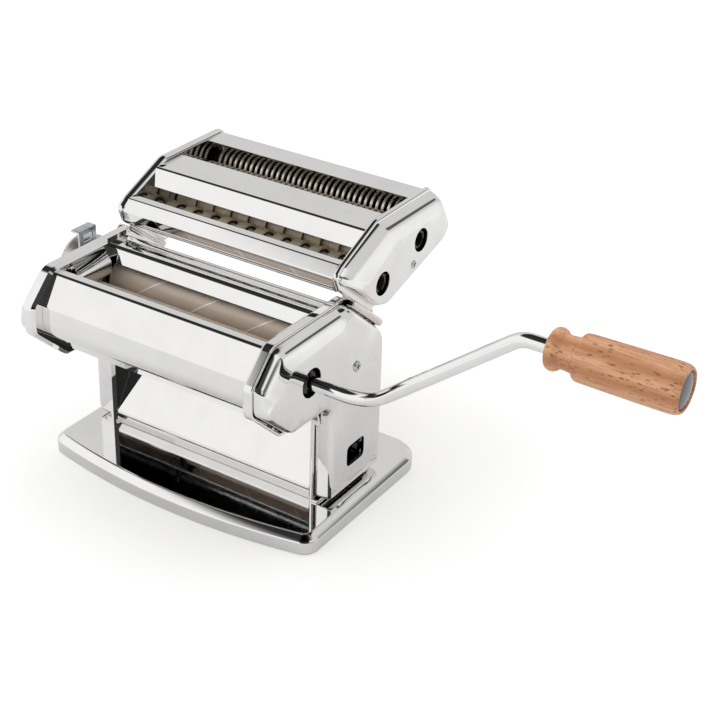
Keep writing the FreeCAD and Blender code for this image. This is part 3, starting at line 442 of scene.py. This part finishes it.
def square_hole(mesh, x, y, z, wide, high, corner):
    """The edges of a rectangle with rounded corners that lies square to X."""
    made = bmesh.ops.create_grid(mesh, x_segments=1, y_segments=1, size=0.5 * MM,
                                 matrix=square_to_x(x, y, z))
    for vert in made["verts"]:
        vert.co.y = (y + math.copysign(wide / 2, vert.co.y - y * MM)) * MM
        vert.co.z = (z + math.copysign(high / 2, vert.co.z - z * MM)) * MM
    rounded = bmesh.ops.bevel(mesh, geom=made["verts"], offset=corner * MM, offset_type="OFFSET",
                              segments=4, profile=0.5, affect="VERTICES", material=-1)
    face = max((f for v in rounded["verts"] for f in v.link_faces), key=lambda f: f.calc_area())
    edges = list(face.edges)
    bmesh.ops.delete(mesh, geom=[face], context="FACES_ONLY")
    return edges


# Drawn covers

SHEET = 1.0                       # the wall of every cover and folded sheet
SMALLEST_CUT = 0.3                # a corner of an outline is cut by at least this
EDGE_SHARE = 0.45                 # and otherwise by at most this share of the shorter edge beside it
BEFORE_BEND = 0.6                 # a ring this far before the bend keeps the straight run straight
LEAN_STEPS = (0.22, 0.78)         # where rings lie between the bend and the shoulder
SLOPE_STEPS = (0.16, 0.8, 1.0)    # where rings lie between the shoulder and the face's rim
FACE_INSET = 1.8                  # the last ring lies this far inside the face's rim


def rounded_outline(places, radii):
    """The points of a closed outline once its corners are rounded. The first point has no radius."""
    mesh = bmesh.new()
    verts = [mesh.verts.new(place) for place in places]
    mesh.faces.new(verts)
    for i in range(1, len(places)):
        before, corner, after = places[i - 1], places[i], places[(i + 1) % len(places)]
        room = min((corner - before).length, (after - corner).length) * EDGE_SHARE
        cut = max(SMALLEST_CUT * MM, min(room, rounding(places, i, radii[i])))
        bmesh.ops.bevel(mesh, geom=[verts[i]], offset=cut, offset_type="OFFSET",
                        segments=3, profile=0.5, affect="VERTICES", material=-1)
    mesh.faces.ensure_lookup_table()
    line = [vert.co.copy() for vert in mesh.faces[0].verts]
    mesh.free()
    first = next(i for i, place in enumerate(line) if (place - places[0]).length < 1e-6)
    return line[first:] + line[:first]


def inset_places(places, inset):
    """The corners of an outline, moved inwards by inset."""
    mesh = bmesh.new()
    face = mesh.faces.new([mesh.verts.new(place) for place in places])
    bmesh.ops.inset_region(mesh, faces=[face], thickness=inset * MM, use_even_offset=True)
    corners = [vert.co.copy() for vert in face.verts]
    mesh.free()
    return [min(corners, key=lambda co: (co - place).length) for place in places]


def drawn_cover(node, side, back, bend, shoulder, face_x, corners, round_holes=(), square_holes=()):
    """A cover drawn from one sheet, for the right (side 1) or the left (side -1). It runs straight from
    back to bend, leans in to a soft shoulder, given as (x, how far in), and from there slopes to its flat
    face. Each corner is (place at the bend, place on the face, radius), with places as (y, z). The first
    has no radius and lies on a straight run."""
    radii = [radius for low, high, radius in corners]
    lean = [Vector((bend, 0.0)).lerp(Vector(shoulder), part) for part in LEAN_STEPS]
    slope = [Vector(shoulder).lerp(Vector((face_x, 1.0)), part) for part in SLOPE_STEPS]
    rings = []
    for x, share in [Vector((back, 0.0)), Vector((bend - BEFORE_BEND, 0.0))] + lean + slope:
        places = [point(side * x, *(Vector(low).lerp(Vector(high), share))) for low, high, radius in corners]
        rings.append(rounded_outline(places, radii))
    rings.append(rounded_outline(inset_places(places, FACE_INSET), radii))
    mesh = bmesh.new()
    face = mesh.faces.new([mesh.verts.new(place) for place in rings[0]])
    for start, stop in zip(rings, rings[1:]):
        made = bmesh.ops.extrude_face_region(mesh, geom=[face])
        if face.is_valid:
            bmesh.ops.delete(mesh, geom=[face], context="FACES_ONLY")
        face = next(item for item in made["geom"] if isinstance(item, bmesh.types.BMFace))
        for vert in face.verts:
            vert.co = stop[next(i for i, place in enumerate(start) if is_at(vert, place))]
    crease = mesh.edges.layers.float.new("crease_edge")
    for edge in face.edges:
        edge[crease] = 1.0
    faced(mesh, face, (side, 0, 0))
    holes = [round_hole(mesh, side * face_x, *hole) for hole in round_holes]
    holes += [square_hole(mesh, side * face_x, *hole) for hole in square_holes]
    if holes:
        punched(mesh, face, holes)
        faced(mesh, max(mesh.faces, key=lambda f: side * f.calc_center_median().x), (side, 0, 0))
    finished_object(f"{node}_drawn", mesh, CHROME, BODY_OF[node], node, sharp=180.0, wall=SHEET,
                    smooth_levels=2)


# The covers' sides stand just inside the side plates' flanges. Along the top and down the nose the cover
# slopes far in to its face, and that slope ends in a ledge above the nose's foot.
SIDE_COVER = [
    ((31.9, 60.0), (30.5, 60.0), 0.0),
    ((31.9, 104.6), (30.4, 103.4), 12.0),
    ((-3.4, 134.2), (-2.6, 129.4), 6.0),
    ((-10.0, 134.2), (-11.6, 122.4), 7.0),
    ((-67.4, 134.2), (-56.4, 120.8), 8.0),
    ((-82.8, 118.6), (-69.9, 109.2), 4.0),
    ((-84.0, 116.6), (-74.6, 107.4), 2.0),
    ((-84.0, 102.1), (-81.6, 102.4), 7.0),
    ((-59.0, 79.1), (-58.2, 81.0), 9.0),
    ((-20.4, 79.1), (-18.8, 80.6), 10.0),
    ((-20.4, 14.6), (-19.0, 16.0), 1.5),
    ((31.9, 14.6), (30.6, 16.0), 1.5),
]
CRANK_HOLE = (*FRONT_AXIS, 8.75)
KNOB_HOLE = (-12.4, 109.4, 7.0)
CLAMP_SLOT = (5.5, 36.0, 18.0, 14.0, 3.0)
drawn_cover("side_cover_right", 1, 73.9, 79.4, (84.0, 0.27), 86.0, SIDE_COVER, [CRANK_HOLE], [CLAMP_SLOT])
drawn_cover("side_cover_left", -1, 73.9, 80.6, (85.8, 0.27), 88.0, SIDE_COVER, [KNOB_HOLE], [CLAMP_SLOT])

CUTTER_COVER = [
    ((69.5, 126.15), (68.8, 128.0), 0.0),
    ((38.0, 117.0), (37.6, 119.0), 7.0),
    ((27.0, 120.3), (28.0, 121.6), 3.0),
    ((-2.6, 144.4), (8.0, 139.6), 3.0),
    ((-4.4, 149.4), (17.6, 139.6), 3.0),
    ((1.2, 153.6), (20.6, 141.2), 4.0),
    ((33.8, 168.0), (45.2, 154.6), 8.0),
    ((91.6, 168.0), (90.8, 154.2), 6.0),
    ((96.0, 165.0), (97.0, 156.6), 6.0),
    ((106.0, 143.2), (104.6, 143.4), 7.0),
    ((101.0, 135.3), (100.0, 137.0), 7.0),
]
CUTTER_SOCKETS = [(*WIDE_DRIVER, 7.2), (*NARROW_DRIVER, 7.2)]
drawn_cover("cutter_end_cover_right", 1, 76.0, 77.2, (82.0, 0.33), 84.0, CUTTER_COVER, CUTTER_SOCKETS)
drawn_cover("cutter_end_cover_left", -1, 76.0, 77.2, (82.0, 0.33), 84.0, CUTTER_COVER)


# Folded sheets

def folded_sheet(node, half, line):
    """A sheet folded across the machine, half its width to each side. Its outer line starts and ends with
    (y, z), and each fold between them is (y, z, bend radius)."""
    mesh = bmesh.new()
    places = [point(-half, y, z) for y, z, *radius in line]
    run = point(half * 2, 0, 0)
    swept_line(mesh, places, run)
    for i in range(1, len(line) - 1):
        round_fold(mesh, places, i, run, line[i][2])
    faced(mesh, max(mesh.faces, key=lambda f: f.calc_center_median().z), (0, 0, 1))
    thickened(mesh, SHEET)
    finished_object(f"{node}_folded", mesh, CHROME, BODY_OF[node], node)


CUTTER_HALF, PANEL_HALF = 73.9, 71.9
folded_sheet("cutter_front_sheet", CUTTER_HALF, [
    (9.5, 138.2), (-4.4, 138.2, 5.5), (-4.9, 148.4, 1.6), (0.4, 154.7, 1.3),
    (6.4, 155.0, 0.8), (6.4, 150.2)])
folded_sheet("cutter_middle_sheet", CUTTER_HALF, [
    (58.0, 158.5), (50.5, 166.2, 2.0), (26.5, 165.8, 2.2), (19.7, 156.4)])
folded_sheet("cutter_rear_sheet", CUTTER_HALF, [
    (103.0, 139.5), (105.0, 144.0, 2.5), (91.5, 168.2, 2.5), (75.6, 167.3)])
folded_sheet("rear_panel", PANEL_HALF, [
    (30.0, 79.0), (30.0, 105.0, 2.0), (-4.2, 133.1, 1.2), (-7.6, 132.0, 1.2), (-17.6, 131.9, 4.0),
    (-23.5, 124.3)])
folded_sheet("front_panel", PANEL_HALF, [
    (-54.0, 119.5), (-60.0, 132.6, 1.4), (-66.1, 132.6, 2.8), (-78.5, 117.0, 1.8), (-79.0, 101.5, 15.0),
    (-62.0, 84.0)])


def rail(node, side):
    """The channel that hooks round the side plate's sloped edge. Its section is swept down the slope, and
    each place in it is (x, height over the slope), with a bend radius at a fold."""
    down = Vector((0.0, 0.7765, -0.6302))
    out = Vector((0.0, 0.6302, 0.7765))
    slope_height, first, last, wall = 136.0, 2.5, 42.0, 1.2
    section = [(76.4, 4.2), (76.4, 1.0, 1.0), (84.6, 1.0, 2.2), (84.6, -3.6, 1.6), (79.9, -3.6)]
    mesh = bmesh.new()
    places = [point(side * p[0], 0.0, slope_height) + (out * p[1] + down * first) * MM for p in section]
    run = down * (last - first) * MM
    swept_line(mesh, places, run)
    for i in range(1, len(section) - 1):
        round_fold(mesh, places, i, run, section[i][2], segments=5)
    faced(mesh, max(mesh.faces, key=lambda f: side * f.calc_center_median().x), (side, 0, 0))
    thickened(mesh, wall)
    finished_object(f"{node}_formed", mesh, RAIL_STEEL, BODY_OF[node], node, edge_round=0.4)


rail("cutter_rail_right", 1)
rail("cutter_rail_left", -1)


# The cutter's end plates

CUTTER_END = [
    (-2.4, 140.0, 2.0), (30.0, 113.8, 2.0), (38.0, 115.0, 5.0), (102.0, 133.5, 7.0), (107.5, 143.0, 6.0),
    (93.0, 170.0, 7.0), (34.0, 169.5, 9.0), (0.5, 154.6, 7.0), (-6.0, 149.8, 4.0),
]
JOURNAL_HOLE = 5.6


def two_largest(mesh):
    """The two largest faces of a plate: its flat sides."""
    return sorted(mesh.faces, key=lambda f: f.calc_area())[-2:]


def cutter_end(node, side, outer, roll):
    """An end plate of the cutter: its rim is rolled round, and the journals' holes go through it."""
    inner = 73.5
    mesh = bmesh.new()
    places = [point(side * inner, y, z) for y, z, radius in CUTTER_END]
    face = mesh.faces.new([mesh.verts.new(place) for place in places])
    made = bmesh.ops.extrude_face_region(mesh, geom=[face])
    run = point(side * (outer - inner), 0, 0)
    bmesh.ops.translate(mesh, verts=verts_in(made), vec=run)
    for i, (y, z, radius) in enumerate(CUTTER_END):
        round_fold(mesh, places, i, run, radius)
    rim = {edge for end in two_largest(mesh) for edge in end.edges}
    bmesh.ops.bevel(mesh, geom=list(rim), offset=roll * MM, offset_type="OFFSET", segments=5, profile=0.5,
                    affect="EDGES", material=-1)
    circles = []
    for end in two_largest(mesh):
        x = end.calc_center_median().x / MM
        circles.append([round_hole(mesh, x, y, z, JOURNAL_HOLE) for y, z in CUTTER_AXES])
        punched(mesh, end, circles[-1])
    for near, far in zip(*circles):
        bmesh.ops.bridge_loops(mesh, edges=near + far)
    bmesh.ops.recalc_face_normals(mesh, faces=mesh.faces)
    finished_object(f"{node}_rolled", mesh, CHROME, BODY_OF[node], node)


cutter_end("cutter_end_plate_right", 1, outer=76.9, roll=1.6)
cutter_end("cutter_end_plate_left", -1, outer=79.6, roll=2.9)


# Turned pieces

def turned_piece(node, profile, axis, finish, steps=40, sharp=40.0, smooth_levels=0):
    """Spins a profile of (x, radius) points about an axis parallel to X."""
    mesh = bmesh.new()
    y, z = axis
    verts = [mesh.verts.new(point(x, y, z + radius)) for x, radius in profile]
    edges = [mesh.edges.new(pair) for pair in zip(verts, verts[1:])]
    bmesh.ops.spin(mesh, geom=verts + edges, cent=point(0, y, z), axis=(1, 0, 0), angle=math.tau,
                   steps=steps, use_merge=True, use_duplicate=False)
    bmesh.ops.remove_doubles(mesh, verts=mesh.verts, dist=0.000001)
    bmesh.ops.recalc_face_normals(mesh, faces=mesh.faces)
    finished_object(f"{node}_turned", mesh, finish, BODY_OF[node], node, sharp=sharp,
                    smooth_levels=smooth_levels)


def ribbed_roller(node, axis, finish, first, right, hollow):
    """A roller of the narrow cutter: fine ribs 4 mm apart that reach into the other roller's grooves.
    first is the first rib's x, and right the x of the right end, where a driver is hollow."""
    pitch, half_rib, tip, groove, journal, drum = 4.0, 0.85, 10.0, 6.4, 5.5, 71.2
    left, socket, socket_depth = -81.2, 4.1, 20.0
    broken_x, broken_radius = 0.3, 0.35
    profile = [(left, 0.0), (left, journal), (-drum, journal), (-drum, groove)]
    x = first
    while x < drum - half_rib:
        profile += [(x - half_rib, groove), (x - half_rib, tip - broken_radius),
                    (x - half_rib + broken_x, tip), (x + half_rib - broken_x, tip),
                    (x + half_rib, tip - broken_radius), (x + half_rib, groove)]
        x += pitch
    profile += [(drum, groove), (drum, journal), (right, journal)]
    if hollow:
        profile += [(right, socket), (right - socket_depth, socket), (right - socket_depth, 0.0)]
    else:
        profile += [(right, 0.0)]
    turned_piece(node, profile, axis, finish)


ribbed_roller("narrow_cutter_driver", NARROW_DRIVER, RIB_BRONZE[0], -70.0, 82.4, True)
ribbed_roller("narrow_cutter_follower", NARROW_FOLLOWER, RIB_BRONZE[1], -68.0, 76.6, False)

GRIP = [
    (222.0, 4.1), (222.0, 8.6), (222.4, 9.9), (223.6, 10.8), (225.4, 11.1), (227.2, 10.6), (228.4, 9.5),
    (229.0, 8.8), (230.5, 8.6), (233.5, 8.8), (236.0, 9.2), (236.6, 9.6), (237.4, 11.4), (238.6, 12.1),
    (241.0, 12.2), (262.0, 12.45), (284.0, 12.7), (288.0, 12.5), (290.2, 11.8), (291.1, 10.9), (291.2, 10.3),
    (290.9, 9.9), (286.4, 9.7), (286.2, 4.1),
]
GRIP_CAP = [
    (286.3, 0.0), (286.3, 9.4), (289.9, 9.6), (290.3, 9.3), (290.7, 8.2), (291.1, 6.0), (291.35, 3.0),
    (291.4, 0.0),
]
for node, profile, finish in (("crank_grip", GRIP, BEECH), ("grip_cap", GRIP_CAP, CAP)):
    turned_piece(node, profile, GRIP_AXIS, finish, steps=32, sharp=180.0, smooth_levels=1)


# Screw heads

def screw_head(mesh, side, x, y, z, radius=3.4, depth=1.3):
    """A domed screw head with a cross cut into it. x is its top, and its foot lies depth further in."""
    arm, half_slot, slot_depth, segments = 1.9, 0.39, 0.9, 24
    top_share, rim_share, rim_depth = 0.72, 0.96, 0.75
    outline = []
    for quarter in range(4):
        out = math.radians(90.0 * quarter)
        ahead = Vector((0, math.cos(out), math.sin(out)))
        aside = Vector((0, -math.sin(out), math.cos(out)))
        outline += [ahead * arm - aside * half_slot, ahead * arm + aside * half_slot,
                    ahead * half_slot + aside * half_slot]
    centre = Vector((side * x, y, z))
    cross = [mesh.verts.new((centre + place) * MM) for place in outline]
    inner = [mesh.edges.new(pair) for pair in zip(cross, cross[1:] + cross[:1])]
    top = round_hole(mesh, side * x, y, z, radius * top_share, segments)
    bmesh.ops.triangle_fill(mesh, edges=inner + top, use_beauty=True, use_dissolve=False)
    rim = round_hole(mesh, side * (x - rim_depth), y, z, radius * rim_share, segments)
    bmesh.ops.bridge_loops(mesh, edges=top + rim)
    foot = round_hole(mesh, side * (x - depth), y, z, radius, segments)
    bmesh.ops.bridge_loops(mesh, edges=rim + foot)
    sunk = bmesh.ops.extrude_edge_only(mesh, edges=inner)
    verts = verts_in(sunk)
    edges = [item for item in sunk["geom"] if isinstance(item, bmesh.types.BMEdge)
             and all(v in verts for v in item.verts)]
    bmesh.ops.translate(mesh, verts=verts, vec=point(-side * slot_depth, 0, 0))
    bmesh.ops.contextual_create(mesh, geom=edges)


mesh = bmesh.new()
screw_head(mesh, 1, 87.2, 3.6, 93.7)
screw_head(mesh, -1, 89.2, 3.6, 81.7)
bmesh.ops.recalc_face_normals(mesh, faces=mesh.faces)
finished_object("cover_screw_heads", mesh, NICKEL, BODY_OF["cover_screws"], "cover_screws", sharp=30.0)
mesh = bmesh.new()
screw_head(mesh, 1, 84.6, 64.6, 132.6, 3.0, 0.9)
bmesh.ops.recalc_face_normals(mesh, faces=mesh.faces)
finished_object("cutter_screw_head", mesh, NICKEL, "cutter", sharp=30.0)


# Every other CAD node keeps its shape and gets smooth faces and its finish, and all but the round ones
# get broken edges.

FINISHED_NODES = (
    (FRONT_ROLLER, ("front_roller",)),
    (REAR_ROLLER, ("rear_roller",)),
    (WIDE_BRONZE[0], ("wide_cutter_driver",)),
    (WIDE_BRONZE[1], ("wide_cutter_follower",)),
    (NICKEL, ("thickness_knob",)),
    (ROD_CHROME, ("crank_rod",)),
    (ZINC, ("release_tab", "carriage_bar", "knob_bracket")),
    (NYLON, ("roller_bush_right", "roller_bush_left", "bearing_block_right", "bearing_block_left")),
    (SHAFT_STEEL, ("roller_gear_front", "roller_gear_rear", "wide_gear_driver", "wide_gear_follower",
                   "narrow_gear_driver", "narrow_gear_follower", "tie_rods", "cutter_tie_rods")),
)
FINISH_OF = {node: finish for finish, nodes in FINISHED_NODES for node in nodes}
EDGE_ROUND = {"side_plate_right": 0.7, "side_plate_left": 0.7, "release_tab": 0.5, "thickness_knob": 0.6,
              "base_plate": 0.7}
ROUND_PIECES = {"front_roller", "rear_roller", "crank_rod", "crank_pin", "wide_cutter_driver",
                "wide_cutter_follower", "tie_rods", "cutter_tie_rods", "carriage_bar"}
made_again = {name for name in NODES if NODES[name].hide_render}
for name in NODES:
    if name not in made_again:
        radius = 0.0 if name in ROUND_PIECES else EDGE_ROUND.get(name, 0.25)
        finished_object(f"{name}_finished", welded(name), FINISH_OF.get(name, CHROME), BODY_OF[name], name,
                        edge_round=radius)


# Studio

def studio_floor():
    """A pale floor that glows a little for the camera, and for mirrored rays away from the machine."""
    f = Finish("studio_floor")
    camera_ray = f.node("ShaderNodeLightPath", output="Is Camera Ray")
    mirror_ray = f.node("ShaderNodeLightPath", output="Is Glossy Ray")
    distance = f.node("ShaderNodeVectorMath", {"operation": "LENGTH"}, {0: f.place()}, output="Value")
    floor = f.node("ShaderNodeBsdfDiffuse", None, {"Color": colour(0.86, 0.86, 0.86)})
    strength = camera_ray * 0.30 + mirror_ray * distance.bounded(0.25, 0.7) * 0.2
    glow = f.node("ShaderNodeEmission", None, {"Color": colour(1.0, 1.0, 1.0), "Strength": strength})
    both = f.node("ShaderNodeAddShader", None, {0: floor, 1: glow})
    f.node("ShaderNodeOutputMaterial", None, {"Surface": both})
    mesh = bmesh.new()
    bmesh.ops.create_grid(mesh, x_segments=1, y_segments=1, size=6.0)
    data = bpy.data.meshes.new("studio_floor")
    mesh.to_mesh(data)
    mesh.free()
    data.materials.append(f.owner)
    ground = bpy.data.objects.new("studio_floor", data)
    bpy.context.scene.collection.objects.link(ground)


def studio_room():
    """The room: white for the camera, even for soft light, and for mirrored rays pale, with a greyer back
    and four dark places: overhead, low on the right, where the viewer stands, and a doorway."""
    world = bpy.data.worlds.new("studio_room")
    bpy.context.scene.world = world
    w = Finish("studio_room", world)
    soft_light = 0.72
    x, y, z = w.axes(w.node("ShaderNodeTexCoord", output="Generated"))
    back = y.bounded(-0.1, 0.3)
    overhead = z.bounded(0.62, 0.74) * (1.0 - y.bounded(0.60, 0.72))
    right = (x * 0.88 - y * 0.44).bounded(0.70, 0.90) * (1.0 - z.bounded(0.25, 0.42))
    viewer = (x * 0.50 - y * 0.66 + z * 0.56).bounded(0.82, 0.90)
    doorway = (x * 0.62 + y * 0.737 + z * 0.27).bounded(0.982, 0.994)
    room = 1.0 - back * 0.30
    for part, depth in ((overhead, 0.97), (right, 0.94), (viewer, 0.95), (doorway, 0.85)):
        room = room * (1.0 - part * depth)
    mirrored = w.node("ShaderNodeLightPath", output="Is Glossy Ray")
    seen = w.node("ShaderNodeLightPath", output="Is Camera Ray")
    level = room * mirrored + (1.0 - mirrored) * soft_light
    level = level * (1.0 - seen) + seen
    sky = w.node("ShaderNodeBackground", None, {"Color": colour(1.0, 0.995, 0.985), "Strength": level})
    w.node("ShaderNodeOutputWorld", None, {"Surface": sky})


def studio_lamp(name, place, aim, size, watts):
    """A soft square lamp that isn't seen in mirrors."""
    lamp = bpy.data.lights.new(name, "AREA")
    lamp.energy = watts
    lamp.size = size
    holder = bpy.data.objects.new(name, lamp)
    holder.location = place
    holder.rotation_euler = (Vector(aim) - Vector(place)).to_track_quat("-Z", "Y").to_euler()
    holder.visible_glossy = False
    bpy.context.scene.collection.objects.link(holder)


def photo_camera():
    """The photograph's camera: to the right of the front, looking down."""
    place = (0.48221, -0.62941, 0.52266)
    azimuth, elevation, roll = (math.radians(v) for v in (31.91, 29.64, -2.138))
    focal_pixels, frame_pixels, sensor = 1536.76, 720.0, 36.0
    level_right = Vector((math.cos(azimuth), math.sin(azimuth), 0.0))
    ahead = Vector((
        -math.sin(azimuth) * math.cos(elevation),
        math.cos(azimuth) * math.cos(elevation),
        -math.sin(elevation),
    ))
    up = level_right.cross(ahead)
    right = math.cos(roll) * level_right - math.sin(roll) * up
    upright = math.sin(roll) * level_right + math.cos(roll) * up
    data = bpy.data.cameras.new("photo_camera")
    data.sensor_width = sensor
    data.lens = sensor * focal_pixels / frame_pixels
    camera = bpy.data.objects.new("photo_camera", data)
    turn = Matrix((right, upright, -ahead)).transposed().to_4x4()
    camera.matrix_world = Matrix.Translation(place) @ turn
    bpy.context.scene.collection.objects.link(camera)
    bpy.context.scene.camera = camera


studio_floor()
studio_room()
studio_lamp("key_lamp", (-0.9, -0.5, 1.5), (0, 0, 0.08), 1.3, 6.5)
studio_lamp("top_lamp", (0.3, 0.6, 1.7), (0, 0, 0.0), 1.5, 4.5)
photo_camera()
bpy.context.scene.view_settings.view_transform = "Standard"
